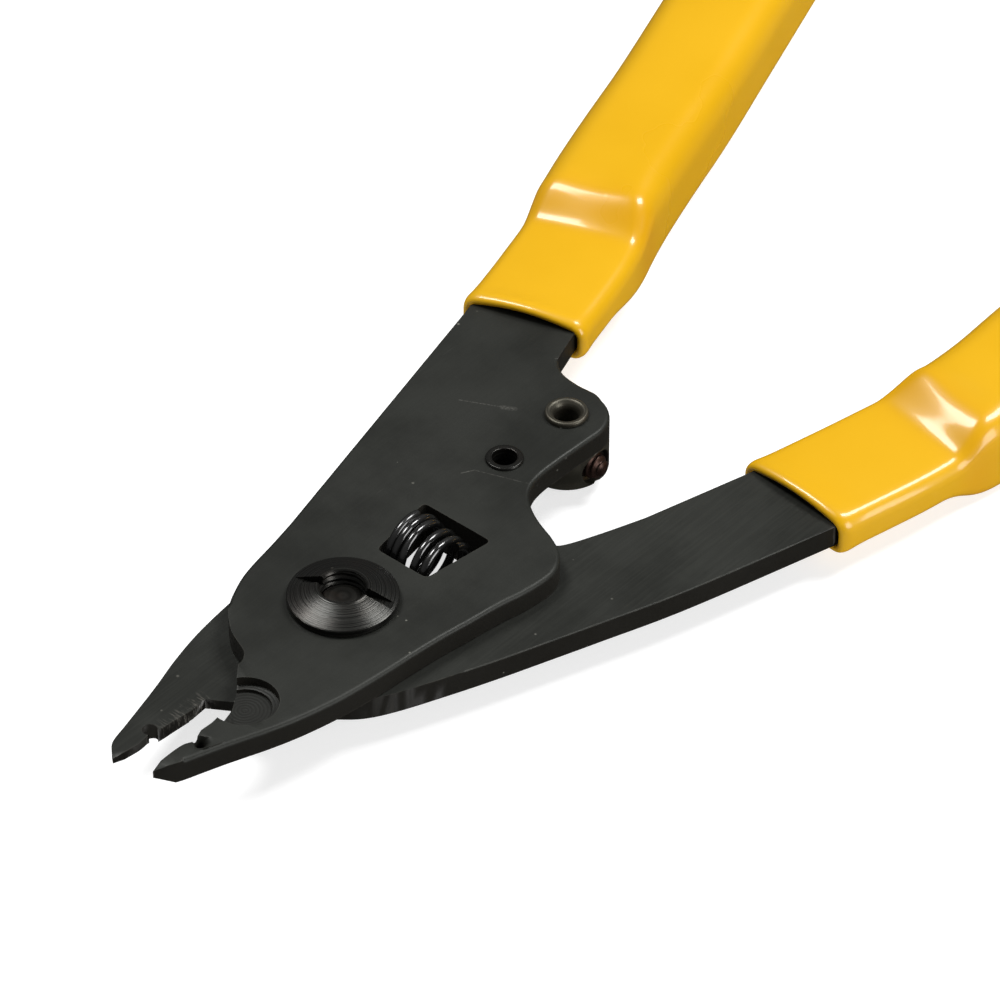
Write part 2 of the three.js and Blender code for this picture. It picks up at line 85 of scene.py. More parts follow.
class Group:
    """A shader node group, or the node tree of a material, with short ways to add to it."""

    def __init__(self, tree):
        self.tree = tree

    def node(self, kind, **settings):
        made = self.tree.nodes.new(kind)
        for key, value in settings.items():
            if key in made.inputs:
                self.put(made.inputs[key], value)
            else:
                setattr(made, key, value)
        return made

    def link(self, source, target):
        self.tree.links.new(source, target)

    def put(self, target, value):
        """Sets a socket to a plain value, or feeds it from another socket."""
        if isinstance(value, bpy.types.NodeSocket):
            self.tree.links.new(value, target)
        else:
            target.default_value = value

    def math(self, operation, a, b=0.0, c=0.0, clamp=False):
        made = self.tree.nodes.new("ShaderNodeMath")
        made.operation = operation
        made.use_clamp = clamp
        for i, value in enumerate((a, b, c)):
            self.put(made.inputs[i], value)
        return made.outputs[0]

    def mix(self, factor, a, b, blend="MIX"):
        made = self.tree.nodes.new("ShaderNodeMix")
        made.data_type = "RGBA"
        made.blend_type = blend
        self.put(made.inputs["Factor"], factor)
        colours = [s for s in made.inputs if s.type == "RGBA"]
        self.put(colours[0], a)
        self.put(colours[1], b)
        return [s for s in made.outputs if s.type == "RGBA"][0]

    def span(self, value, low, high, to_low=0.0, to_high=1.0):
        """A soft step: to_low at low, to_high at high."""
        made = self.tree.nodes.new("ShaderNodeMapRange")
        made.interpolation_type = "SMOOTHSTEP"
        for key, v in (("Value", value), ("From Min", low), ("From Max", high), ("To Min", to_low),
                       ("To Max", to_high)):
            self.put(made.inputs[key], v)
        return made.outputs["Result"]

    def noise(self, vector, scale, detail=3.0):
        made = self.node("ShaderNodeTexNoise", Scale=scale, Detail=detail, Roughness=0.55)
        self.link(vector, made.inputs["Vector"])
        return made.outputs["Fac"]

    def stretched(self, vector, scale, turn=0.0):
        made = self.node("ShaderNodeMapping")
        made.inputs["Scale"].default_value = scale
        made.inputs["Rotation"].default_value = (0, 0, turn)
        self.link(vector, made.inputs["Vector"])
        return made.outputs["Vector"]

    def place(self, shared, **values):
        """Puts a shared effect in this tree with its own values, and returns its outputs."""
        made = self.tree.nodes.new("ShaderNodeGroup")
        made.node_tree = shared.tree
        for key, value in values.items():
            self.put(made.inputs[key.replace("_", " ")], value)
        return made.outputs


def effect(name, inputs, outputs):
    """An empty node group with the named inputs and outputs, each (name, type, default)."""
    tree = bpy.data.node_groups.new(name, "ShaderNodeTree")
    for title, kind, default in inputs:
        made = tree.interface.new_socket(title, in_out="INPUT", socket_type="NodeSocket" + kind)
        if default is not None:
            made.default_value = default
    for title, kind in outputs:
        tree.interface.new_socket(title, in_out="OUTPUT", socket_type="NodeSocket" + kind)
    group = Group(tree)
    return group, group.node("NodeGroupInput").outputs, group.node("NodeGroupOutput").inputs


def coated(name, roughness, metallic, coat=0.0, coat_roughness=0.1, specular=0.5):
    """A new material. Returns it, its tree and its shader, with the plain values set on the shader."""
    material = bpy.data.materials.new(name)
    material.use_nodes = True
    tree = Group(material.node_tree)
    shader = material.node_tree.nodes["Principled BSDF"]
    shader.inputs["Roughness"].default_value = roughness
    shader.inputs["Metallic"].default_value = metallic
    shader.inputs["Coat Weight"].default_value = coat
    shader.inputs["Coat Roughness"].default_value = coat_roughness
    shader.inputs["Specular IOR Level"].default_value = specular
    return material, tree, shader


# Dust: sparse pale specks of uneven size, some faint.
dust_group, dust_in, dust_out = effect(
    "dust_specks",
    [("Vector", "Vector", None), ("Scale", "Float", 400.0), ("Size", "Float", 0.1),
     ("Share", "Float", 0.5)],
    [("Mask", "Float")])
speck_cells = dust_group.node("ShaderNodeTexVoronoi")
dust_group.link(dust_in["Vector"], speck_cells.inputs["Vector"])
dust_group.link(dust_in["Scale"], speck_cells.inputs["Scale"])
speck_split = dust_group.node("ShaderNodeSeparateColor")
dust_group.link(speck_cells.outputs["Color"], speck_split.inputs["Color"])
speck_size = dust_group.math("MULTIPLY", dust_in["Size"], speck_split.outputs["Green"])
speck_reach = dust_group.math("DIVIDE", speck_cells.outputs["Distance"], speck_size)
speck_round = dust_group.math("SUBTRACT", 1.0, speck_reach, clamp=True)
speck_kept = dust_group.math("LESS_THAN", speck_split.outputs["Red"], dust_in["Share"])
speck_light = dust_group.math("MULTIPLY", speck_round, speck_split.outputs["Blue"])
dust_group.link(dust_group.math("MULTIPLY", speck_light, speck_kept), dust_out["Mask"])

# Scratches: long thin lines, broken up, that run along one direction.
scratch_group, scratch_in, scratch_out = effect(
    "fine_scratches",
    [("Vector", "Vector", None), ("Fineness", "Float", 1.0), ("Level", "Float", 0.6)],
    [("Mask", "Float")])
scratch_lines = scratch_group.node("ShaderNodeTexNoise", Detail=2.0, Roughness=0.6)
scratch_group.link(scratch_in["Vector"], scratch_lines.inputs["Vector"])
scratch_group.link(scratch_in["Fineness"], scratch_lines.inputs["Scale"])
scratch_low = scratch_group.math("SUBTRACT", scratch_in["Level"], 0.02)
scratch_high = scratch_group.math("ADD", scratch_in["Level"], 0.06)
scratch_mask = scratch_group.span(scratch_lines.outputs["Fac"], scratch_low, scratch_high)
scratch_group.link(scratch_mask, scratch_out["Mask"])

# Edge wear: where the rounding of an edge is narrow, the black finish is rubbed thin.
wear_group, wear_in, wear_out = effect(
    "edge_wear",
    [("Vector", "Vector", None), ("Reach", "Float", 0.0003), ("Breakup", "Float", 900.0)],
    [("Mask", "Float")])
wear_round = wear_group.node("ShaderNodeBevel", samples=4)
wear_group.link(wear_in["Reach"], wear_round.inputs["Radius"])
wear_flat = wear_group.node("ShaderNodeNewGeometry")
wear_turn = wear_group.node("ShaderNodeVectorMath", operation="DOT_PRODUCT")
wear_group.link(wear_round.outputs["Normal"], wear_turn.inputs[0])
wear_group.link(wear_flat.outputs["Normal"], wear_turn.inputs[1])
wear_edge = wear_group.span(wear_turn.outputs["Value"], 0.995, 0.86)
wear_patch = wear_group.span(wear_group.noise(wear_in["Vector"], wear_in["Breakup"]), 0.4, 0.62)
wear_group.link(wear_group.math("MULTIPLY", wear_edge, wear_patch), wear_out["Mask"])

# Oxide mottle: slow clouds in the black, with a fine grain.
mottle_group, mottle_in, mottle_out = effect(
    "oxide_mottle",
    [("Vector", "Vector", None), ("Cloud", "Float", 90.0), ("Grain", "Float", 2600.0)],
    [("Clouds", "Float"), ("Grain", "Float")])
for title, share, detail in (("Clouds", "Cloud", 4.0), ("Grain", "Grain", 2.0)):
    mottle_group.link(mottle_group.noise(mottle_in["Vector"], mottle_in[share], detail), mottle_out[title])

# Scuff: one short mark between two points, broken up along its length.
scuff_group, scuff_in, scuff_out = effect(
    "scuff_mark",
    [("Vector", "Vector", None), ("From", "Vector", (0, 0, 0)), ("To", "Vector", (0, 0.01, 0)),
     ("Width", "Float", 0.0001), ("Breakup", "Float", 4200.0)],
    [("Mask", "Float")])


def scuff_vector(operation, a, b=None):
    made = scuff_group.node("ShaderNodeVectorMath", operation=operation)
    scuff_group.link(a, made.inputs[0])
    if b is not None:
        scuff_group.link(b, made.inputs["Scale"] if operation == "SCALE" else made.inputs[1])
    return made.outputs["Value"] if operation in ("DOT_PRODUCT", "LENGTH") else made.outputs["Vector"]


scuff_run = scuff_vector("SUBTRACT", scuff_in["To"], scuff_in["From"])
scuff_offset = scuff_vector("SUBTRACT", scuff_in["Vector"], scuff_in["From"])
scuff_share = scuff_group.math("DIVIDE", scuff_vector("DOT_PRODUCT", scuff_offset, scuff_run),
                               scuff_vector("DOT_PRODUCT", scuff_run, scuff_run), clamp=True)
scuff_near = scuff_vector("SUBTRACT", scuff_offset, scuff_vector("SCALE", scuff_run, scuff_share))
scuff_far = scuff_vector("LENGTH", scuff_near)
scuff_off = scuff_group.math("DIVIDE", scuff_far, scuff_in["Width"])
scuff_line = scuff_group.math("SUBTRACT", 1.0, scuff_off, clamp=True)
scuff_patch = scuff_group.span(scuff_group.noise(scuff_in["Vector"], scuff_in["Breakup"], 3.0), 0.3, 0.75)
scuff_group.link(scuff_group.math("MULTIPLY", scuff_line, scuff_patch), scuff_out["Mask"])


front_top = 6.6 * MM
rear_top = 4.0 * MM
plate_black = shown(34, 35, 32)


def tinted(base, factor):
    return [c * factor for c in base[:3]] + [1]


def black_oxide(name, base, brush_turn, brush_amount, scuffs=()):
    """Blackened steel: satin, a little mottled, with a brushed grain, fine scratches and dust, and its
    upright walls painted darker as painted shade.
    Each scuff is (x, y, x, y, width) in mm on the front plate. Returns the material, its tree and
    shader, and the colour, brushing and grain for a caller to add to."""
    material, tree, shader = coated(name, 0.4, 0.0, specular=0.2)
    place = tree.node("ShaderNodeTexCoord").outputs["Object"]
    mottle = tree.place(mottle_group, Vector=place)
    brushed = tree.noise(tree.stretched(place, (3600, 130, 900), brush_turn), 1.0, 2.0)
    scratch_way = tree.stretched(place, (1500, 70, 300), brush_turn + 0.5)
    lines = tree.place(scratch_group, Vector=scratch_way, Fineness=1.0, Level=0.74)["Mask"]
    dust = tree.place(dust_group, Vector=place, Scale=900.0, Size=0.2, Share=0.07)["Mask"]
    worn = tree.place(wear_group, Vector=place, Reach=0.00022)["Mask"]
    colour = tree.mix(tree.span(mottle["Clouds"], 0.3, 0.7), tinted(base, 0.85), tinted(base, 1.15))
    brush = tree.math("MULTIPLY", tree.span(brushed, 0.35, 0.7), brush_amount)
    colour = tree.mix(brush, colour, tinted(base, 2.2))
    # Painted shade: upright walls are darkened towards a near-black brown. Further down they also get less
    # metallic shine.
    upright = tree.node("ShaderNodeSeparateXYZ")
    tree.link(tree.node("ShaderNodeNewGeometry").outputs["True Normal"], upright.inputs["Vector"])
    wall = tree.span(tree.math("ABSOLUTE", upright.outputs["Z"]), 0.5, 0.1)
    colour = tree.mix(tree.math("MULTIPLY", wall, 0.85), colour, shown(22, 20, 16))
    colour = tree.mix(tree.math("MULTIPLY", lines, 0.25), colour, shown(84, 83, 79))
    colour = tree.mix(tree.math("MULTIPLY", worn, 0.3), colour, shown(80, 76, 70))
    colour = tree.mix(tree.math("MULTIPLY", dust, 0.6, clamp=True), colour, shown(150, 148, 138))
    for x0, y0, x1, y1, width in scuffs:
        mark = tree.place(scuff_group, Vector=place, From=(x0 * MM, y0 * MM, front_top),
                          To=(x1 * MM, y1 * MM, front_top), Width=width * MM)["Mask"]
        colour = tree.mix(tree.math("MULTIPLY", mark, 0.4), colour, shown(120, 118, 112))
    tree.link(colour, shader.inputs["Base Color"])
    face = tree.math("SUBTRACT", 1.0, wall)
    tree.link(tree.math("MULTIPLY", face, 0.3), shader.inputs["Metallic"])
    rough = tree.span(mottle["Clouds"], 0.3, 0.7, 0.34, 0.46)
    rough = tree.math("ADD", rough, tree.math("MULTIPLY", mottle["Grain"], 0.08))
    rough = tree.math("ADD", rough, tree.math("MULTIPLY", dust, 0.4), clamp=True)
    tree.link(rough, shader.inputs["Roughness"])
    return material, tree, shader, colour, brushed, mottle["Grain"]


def finish_relief(tree, shader, height, strength, distance):
    """Feeds a height into the shader's normal through a bump."""
    bump = tree.node("ShaderNodeBump", Strength=strength, Distance=distance)
    tree.link(height, bump.inputs["Height"])
    tree.link(bump.outputs["Normal"], shader.inputs["Normal"])


def as_piece(name, mesh, body, slot, material, *replaced):
    piece = bpy.data.objects.new(name, mesh)
    scene.collection.objects.link(piece)
    mesh.materials.clear()
    mesh.materials.append(material)
    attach(piece, body)
    if replaced:
        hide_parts(*replaced)
    return piece


def smooth_by_angle(mesh, degrees):
    mesh.polygons.foreach_set("use_smooth", [True] * len(mesh.polygons))
    mesh.set_sharp_from_angle(angle=math.radians(degrees))
    mesh.update()


def ease_edges(bm, chosen, width, segments, limited=True):
    """Rounds the sharp edges whose middle is chosen."""
    sharp = [e for e in bm.edges if len(e.link_faces) == 2 and e.calc_face_angle(0) > math.radians(32)]
    picked = [e for e in sharp if chosen((e.verts[0].co + e.verts[1].co) / 2)]
    bmesh.ops.bevel(bm, geom=picked, offset=width, segments=segments, profile=0.5, affect="EDGES",
                    clamp_overlap=limited, offset_type="OFFSET")


def modified(mesh, kind, **settings):
    """A new mesh: the given one with a modifier applied."""
    holder = bpy.data.objects.new("holder", mesh)
    scene.collection.objects.link(holder)
    modifier = holder.modifiers.new("change", kind)
    for key, value in settings.items():
        setattr(modifier, key, value)
    bpy.context.view_layer.update()
    graph = bpy.context.evaluated_depsgraph_get()
    result = bpy.data.meshes.new_from_object(holder.evaluated_get(graph))
    bpy.data.objects.remove(holder)
    return result


def merged_cad_faces(node):
    """A CAD node's mesh, ready to edit, with its flat faces merged."""
    bm = bmesh.new()
    bm.from_mesh(nodes[node].data)
    bmesh.ops.remove_doubles(bm, verts=bm.verts, dist=2e-6)
    bmesh.ops.dissolve_limit(bm, angle_limit=math.radians(0.6), verts=bm.verts, edges=bm.edges)
    return bm


def finished_mesh(bm, name, sharp_degrees):
    bmesh.ops.triangulate(bm, faces=[f for f in bm.faces if len(f.verts) > 4])
    mesh = bpy.data.meshes.new(name)
    bm.to_mesh(mesh)
    bm.free()
    smooth_by_angle(mesh, sharp_degrees)
    return mesh


def stamped(node, soft_places, soft_width, fine_width):
    """The CAD plate with a soft rounding where chosen and a fine one elsewhere. Its normals are
    weighted by face area, so that flat faces shade flat beside the roundings. Very short edges
    hold the fine rounding back, and on the rear half they leave it with no width."""
    bm = merged_cad_faces(node)
    ease_edges(bm, soft_places, soft_width, 4, False)
    ease_edges(bm, lambda p: not soft_places(p), fine_width, 2)
    mesh = finished_mesh(bm, node + "_stamping", 32)
    return modified(mesh, "WEIGHTED_NORMAL", keep_sharp=True, weight=100)


def on_upper_face(p, top):
    return p.z > top - 0.05 * MM


def near(p, x, y, radius):
    return (Vector((p.x, p.y)) - Vector((x, y)) * MM).length < radius * MM


def front_outer_rim(p):
    """The outer edge of the upper face, but not the window, the holes, the pocket or the blade."""
    openings = ((0.69, 12, 6.3), (0, 0, 5), (-2.04, 36.04, 3), (-2.19, 26.62, 3), (2.7, -17.1, 3.7))
    if any(near(p, x, y, radius) for x, y, radius in openings):
        return False
    blade = p.y < -14 * MM and p.x < 3.3 * MM
    heel = p.y < -8 * MM and p.x < 2 * MM
    return on_upper_face(p, front_top) and -27 * MM < p.y < 44 * MM and not (blade or heel)


def rear_outer_rim(p):
    return on_upper_face(p, rear_top) and 2 * MM < p.y < 42 * MM and p.x > 8 * MM


# The front half: two old scuffs by the rivets, and cutter rings on the floor of the round pocket, whose
# whole floor is also painted darker as painted shade.
front_scuffs = ((-7.7, 32.6, -6.6, 33.2, 0.4), (-11.8, 30.6, -7.8, 32.6, 0.1),
                (-4.0, 22.1, -3.3, 23.3, 0.12), (-3.3, 23.3, 4.1, 26.0, 0.07))
front_steel, front_tree, front_shader, front_colour, front_brushed, front_grain = black_oxide(
    "front_black_oxide", plate_black, math.radians(14), 0.06, front_scuffs)
pocket_place = front_tree.node("ShaderNodeTexCoord").outputs["Object"]
pocket_offset = front_tree.node("ShaderNodeVectorMath", operation="SUBTRACT")
front_tree.link(pocket_place, pocket_offset.inputs[0])
pocket_centre = Vector((2.7, -17.1, 5.3)) * MM
pocket_offset.inputs[1].default_value = pocket_centre
pocket_flat = front_tree.node("ShaderNodeVectorMath", operation="MULTIPLY")
front_tree.link(pocket_offset.outputs[0], pocket_flat.inputs[0])
pocket_flat.inputs[1].default_value = (1, 1, 0)
pocket_reach = front_tree.node("ShaderNodeVectorMath", operation="LENGTH")
front_tree.link(pocket_flat.outputs[0], pocket_reach.inputs[0])
pocket_floor = front_tree.node("ShaderNodeSeparateXYZ")
front_tree.link(pocket_offset.outputs[0], pocket_floor.inputs[0])
in_pocket = front_tree.math(
    "MULTIPLY", front_tree.math("LESS_THAN", pocket_reach.outputs["Value"], 3.4 * MM),
    front_tree.math("LESS_THAN", pocket_floor.outputs["Z"], 1.0 * MM))
ring_wander = front_tree.math("MULTIPLY", front_tree.noise(pocket_place, 700.0, 2.0), 5.0)
ring_count = front_tree.math("MULTIPLY", pocket_reach.outputs["Value"], 17000.0)
cutter_rings = front_tree.math("SINE", front_tree.math("ADD", ring_wander, ring_count))
# Painted shade: the whole pocket floor is darkened by 0.3 to 0.6, and the real cutter rings set how much.
pocket_rings_and_painted_shade = front_tree.math("MULTIPLY", in_pocket, front_tree.span(cutter_rings, -0.4, 0.9, 0.3, 0.6))
front_colour = front_tree.mix(pocket_rings_and_painted_shade, front_colour, shown(20, 19, 17))
front_tree.link(front_colour, front_shader.inputs["Base Color"])
front_height = front_tree.math("ADD", front_tree.math("MULTIPLY", front_brushed, 0.2), front_grain)
ring_height = front_tree.math("MULTIPLY", in_pocket, front_tree.math("MULTIPLY", cutter_rings, 0.5))
front_height = front_tree.math("ADD", front_height, ring_height)
finish_relief(front_tree, front_shader, front_height, 0.35, 0.03 * MM)

# The rear half: brushed along its tang, with short marks of the grinding wheel along the blade.
rear_steel, rear_tree, rear_shader, rear_colour, rear_brushed, rear_grain = black_oxide(
    "rear_black_oxide", plate_black, math.radians(-24), 0.2)
blade_place = rear_tree.node("ShaderNodeTexCoord").outputs["Object"]
blade_xyz = rear_tree.node("ShaderNodeSeparateXYZ")
rear_tree.link(blade_place, blade_xyz.inputs["Vector"])
from_blade_middle = rear_tree.math("ABSOLUTE", rear_tree.math("ADD", blade_xyz.outputs["Y"], 20 * MM))
along_blade = rear_tree.span(from_blade_middle, 3.6 * MM, 2.4 * MM)
off_edge = rear_tree.math("MULTIPLY", rear_tree.span(blade_xyz.outputs["X"], -4.0 * MM, -2.9 * MM),
                          rear_tree.math("LESS_THAN", blade_xyz.outputs["X"], -1.5 * MM))
wheel_noise = rear_tree.noise(rear_tree.stretched(blade_place, (700, 5200, 900), 0.35), 1.0, 3.0)
wheel_marks = rear_tree.span(wheel_noise, 0.5, 0.7)
ground = rear_tree.math("MULTIPLY", rear_tree.math("MULTIPLY", along_blade, off_edge), wheel_marks)
rear_colour = rear_tree.mix(rear_tree.math("MULTIPLY", ground, 0.3), rear_colour, shown(128, 124, 116))
rear_tree.link(rear_colour, rear_shader.inputs["Base Color"])
rear_height = rear_tree.math("ADD", rear_tree.math("MULTIPLY", rear_brushed, 0.45), rear_grain)
finish_relief(rear_tree, rear_shader, rear_height, 0.35, 0.03 * MM)

fine_edge = 0.09 * MM
as_piece("front_half_steel", stamped("front_half", front_outer_rim, 0.5 * MM, fine_edge),
         "front", "black_steel", front_steel, "front_half")
as_piece("rear_half_steel", stamped("rear_half", rear_outer_rim, 0.14 * MM, fine_edge),
         "rear", "black_steel", rear_steel, "rear_half")


# ---------------------------------------------------------------------------------------------
# The pivot. A flat-headed screw comes up through both halves and a round conical nut with a
# screwdriver slot runs down its thread. Both are turned from bar, so they show cutter rings.
# ---------------------------------------------------------------------------------------------
def closed_skin(name, verts, faces):
    """A mesh whose faces all look outwards."""
    mesh = bpy.data.meshes.new(name)
    mesh.from_pydata(verts, [], faces)
    bm = bmesh.new()
    bm.from_mesh(mesh)
    bmesh.ops.recalc_face_normals(bm, faces=bm.faces)
    bm.to_mesh(mesh)
    bm.free()
    return mesh


def turned_mesh(name, profile, segments, radius_at=None, smooth=35):
    """A solid of revolution about Z. profile is (radius, height) in mm, from the axis to the axis
    or round to its start. radius_at(angle, radius, height) may change the radius, for a thread."""
    on_axis = [r < 1e-6 for r, _ in profile]
    verts, faces, rows = [], [], []
    for i, (r, z) in enumerate(profile):
        if on_axis[i]:
            rows.append([len(verts)])
            verts.append((0, 0, z * MM))
            continue
        row = []
        for k in range(segments):
            angle = 2 * math.pi * k / segments
            radius = radius_at(angle, r, z) if radius_at else r
            row.append(len(verts))
            verts.append((radius * MM * math.cos(angle), radius * MM * math.sin(angle), z * MM))
        rows.append(row)
    closed = not (on_axis[0] and on_axis[-1])
    pairs = list(zip(rows, rows[1:])) + ([(rows[-1], rows[0])] if closed else [])
    for low, high in pairs:
        for k in range(segments):
            n = (k + 1) % segments
            if len(low) == 1:
                faces.append((low[0], high[n], high[k]))
            elif len(high) == 1:
                faces.append((low[k], low[n], high[0]))
            else:
                faces.append((low[k], low[n], high[n], high[k]))
    mesh = closed_skin(name, verts, faces)
    smooth_by_angle(mesh, smooth)
    return mesh


def cut_away(mesh, cutter):
    """mesh less cutter, both meshes in the same place."""
    tool = bpy.data.objects.new("tool", cutter)
    scene.collection.objects.link(tool)
    result = modified(mesh, "BOOLEAN", operation="DIFFERENCE", solver="EXACT", object=tool)
    bpy.data.objects.remove(tool)
    return result


def block_mesh(name, size, matrix):
    bm = bmesh.new()
    bmesh.ops.create_cube(bm, size=1, matrix=matrix @ Matrix.Diagonal((*size, 1)))
    mesh = bpy.data.meshes.new(name)
    bm.to_mesh(mesh)
    bm.free()
    return mesh


def thread_rows(low, high, per_pitch, pitch):
    count = max(2, round((high - low) / pitch * per_pitch))
    return [low + (high - low) * i / count for i in range(count + 1)]


def thread_depth(angle, height, pitch, depth):
    """How far a helical thread's flank lies below its crest."""
    phase = (height / pitch - angle / (2 * math.pi)) % 1
    return depth * min(1, max(0, abs(2 * phase - 1) * 1.5 - 0.25))


def blackened_turning(name, base, ring_scale, shine, contrast, rust):
    """Turned and blackened steel: rings round the piece's own axis, a little rust, dust and wear."""
    material, tree, shader = coated(name, shine, 0.75, specular=0.4)
    place = tree.node("ShaderNodeTexCoord").outputs["Object"]
    axis = tree.node("ShaderNodeAttribute", attribute_name="ring_radius")
    rings = tree.node("ShaderNodeTexNoise", Scale=ring_scale, Detail=3.0)
    rings.noise_dimensions = "1D"
    tree.link(axis.outputs["Fac"], rings.inputs["W"])
    mottle = tree.place(mottle_group, Vector=place, Cloud=260.0)
    dust = tree.place(dust_group, Vector=place, Scale=700.0, Size=0.14, Share=0.2)["Mask"]
    worn = tree.place(wear_group, Vector=place, Reach=0.00018, Breakup=1500.0)["Mask"]
    colour = tree.mix(tree.span(rings.outputs["Fac"], 0.35, 0.65), tinted(base, 1 - contrast),
                      tinted(base, 1 + contrast))
    colour = tree.mix(tree.math("MULTIPLY", tree.span(mottle["Clouds"], 0.45, 0.7), rust), colour,
                      shown(66, 48, 38))
    colour = tree.mix(tree.math("MULTIPLY", worn, 0.25), colour, shown(96, 94, 88))
    colour = tree.mix(tree.math("MULTIPLY", dust, 0.7, clamp=True), colour, shown(150, 146, 136))
    tree.link(colour, shader.inputs["Base Color"])
    rough = tree.span(rings.outputs["Fac"], 0.3, 0.7, shine - 0.06, shine + 0.1)
    tree.link(rough, shader.inputs["Roughness"])
    height = tree.math("ADD", rings.outputs["Fac"], tree.math("MULTIPLY", mottle["Grain"], 0.25))
    finish_relief(tree, shader, height, contrast, 0.05 * MM)
    return material


def mark_rings(mesh, axis_point=Vector(), axis=Vector((0, 0, 1))):
    """Stores each point's place on the turned face, so that the cutter's rings follow it."""
    ring = mesh.attributes.new("ring_radius", "FLOAT", "POINT")
    for v in mesh.vertices:
        offset = v.co - axis_point
        along = offset.dot(axis)
        ring.data[v.index].value = ((offset - axis * along).length + 0.25 * along) / MM


nut_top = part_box("pivot_nut")[1].z / MM
nut_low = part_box("pivot_nut")[0].z / MM
nut_rim, nut_ring, nut_bore = 5.6, 2.85, 2.25
nut_pitch = 0.75


def nut_profile():
    """Up the threaded bore, over the ring, down the grooved cone and the rim, and back below."""
    points = [(nut_bore, z) for z in thread_rows(nut_low, nut_top - 0.25, 10, nut_pitch)]
    points += [(nut_bore + 0.1, nut_top - 0.08), (nut_bore + 0.2, nut_top), (nut_ring - 0.15, nut_top),
               (nut_ring - 0.04, nut_top - 0.05)]
    grooves = 30
    slope_low = nut_low + 0.82
    for i in range(grooves + 1):
        t = i / grooves
        dip = 0.016 if i % 2 else 0.0
        points.append((nut_ring + (nut_rim - 0.12 - nut_ring) * t,
                       nut_top - 0.1 + (slope_low - nut_top + 0.1) * t ** 1.15 - dip))
    points += [(nut_rim - 0.04, slope_low - 0.05), (nut_rim, slope_low - 0.14), (nut_rim, nut_low + 0.12),
               (nut_rim - 0.1, nut_low)]
    return points


def nut_radius(angle, radius, height):
    if radius <= nut_bore + 0.01:
        return radius + thread_depth(angle, height, nut_pitch, 0.22) * min(1, (height - nut_low) / 0.3)
    return radius


nut_mesh = turned_mesh("pivot_nut_turning", nut_profile(), 128, nut_radius, 24)
slot_way = Matrix.Translation((0, 0, nut_top * MM)) @ Matrix.Rotation(math.radians(20), 4, "Z")
slot_size = (20 * MM, 1.0 * MM, 2.0 * MM)
nut_mesh = cut_away(nut_mesh, block_mesh("slot_cutter", slot_size, slot_way))
smooth_by_angle(nut_mesh, 24)
mark_rings(nut_mesh)
turned_black = blackened_turning("blackened_turning", shown(33, 33, 31), 9.0, 0.26, 0.3, 0.06)
as_piece("pivot_nut_turned", nut_mesh, "front", "turned_steel", turned_black, "pivot_nut")

screw_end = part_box("pivot_screw")[1].z / MM
shank_r, thread_r, thread_low = 2.95, 2.18, 6.5
screw_rows = [(0, 0), (4.85, 0), (5.1, 0.04), (5.36, 0.3), (5.4, 0.45), (5.4, 1.25), (5.32, 1.36),
              (5.2, 1.4), (shank_r, 1.4), (shank_r, thread_low - 0.02), (thread_r, thread_low)]
screw_rows += [(thread_r, z) for z in thread_rows(thread_low + 0.05, screw_end - 0.45, 10, nut_pitch)]
screw_rows += [(2.0, screw_end - 0.3), (1.75, screw_end - 0.14), (1.4, screw_end - 0.06),
               (0.95, screw_end - 0.02), (0.5, screw_end), (0, screw_end)]


def screw_radius(angle, radius, height):
    if abs(radius - thread_r) < 0.01 and height > thread_low + 0.01:
        return radius - thread_depth(angle, height, nut_pitch, 0.2)
    return radius


screw_mesh = turned_mesh("pivot_screw_turning", screw_rows, 96, screw_radius, 30)
mark_rings(screw_mesh)
browned = blackened_turning("browned_turning", shown(24, 23, 20), 2.2, 0.4, 0.1, 0.3)
as_piece("pivot_screw_turned", screw_mesh, "front", "turned_steel", browned, "pivot_screw")


# ---------------------------------------------------------------------------------------------
# The return spring: black wire wound on a mandrel, with a closed, ground coil at each end. It
# lies in the two windows and bears on the front half at one end and on the rear at the other.
# ---------------------------------------------------------------------------------------------
spring_low, spring_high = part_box("return_spring")
spring_axis = Vector((0, (spring_low.y + spring_high.y) / 2, (spring_low.z + spring_high.z) / 2))
wire_radius = 0.45 * MM
coil_radius = (spring_high.z - spring_low.z) / 2 - wire_radius + 0.25 * MM
spring_turns = 5
coil_places = np.array([0, 0.8, 1.7, 3.5, 4.85, 5.95])
first_turn = math.radians(70)


def wire_path(t):
    """A point of the wire's middle. The coils lie closest at the front half's wall, and the spring
    bows a little, because its ends tilt with the two halves."""
    span = spring_high.x - spring_low.x - 2 * wire_radius
    along = span * np.interp(t * spring_turns, range(spring_turns + 1), coil_places / coil_places[-1])
    angle = 2 * math.pi * t * spring_turns + first_turn
    bow = Vector((0, 0.1 - 0.5 * t, 0.6 - 0.9 * t)) * MM
    return bow + Vector((spring_low.x + wire_radius + along, spring_axis.y + coil_radius * math.cos(angle),
                         spring_axis.z + coil_radius * math.sin(angle)))


def tube_mesh(name, path, steps, radius, sides):
    """A round tube along path(t), t from 0 to 1, closed by shallow domes."""
    verts, faces = [], []
    points = [path(i / steps) for i in range(steps + 1)]
    side = Vector((1, 0, 0))
    for i, p in enumerate(points):
        along = (points[min(i + 1, steps)] - points[max(i - 1, 0)]).normalized()
        side = (side - along * side.dot(along)).normalized()
        up = along.cross(side)
        for k in range(sides):
            a = 2 * math.pi * k / sides
            verts.append(p + (side * math.cos(a) + up * math.sin(a)) * radius)
    for i in range(steps):
        for k in range(sides):
            n = (k + 1) % sides
            faces.append((i * sides + k, i * sides + n, (i + 1) * sides + n, (i + 1) * sides + k))
    for row, tip in ((0, points[0]), (steps, points[-1])):
        verts.append(tip)
        for k in range(sides):
            n = (k + 1) % sides
            a, b = row * sides + k, row * sides + n
            faces.append((len(verts) - 1, b, a) if row == 0 else (len(verts) - 1, a, b))
    mesh = closed_skin(name, verts, faces)
    smooth_by_angle(mesh, 50)
    return mesh


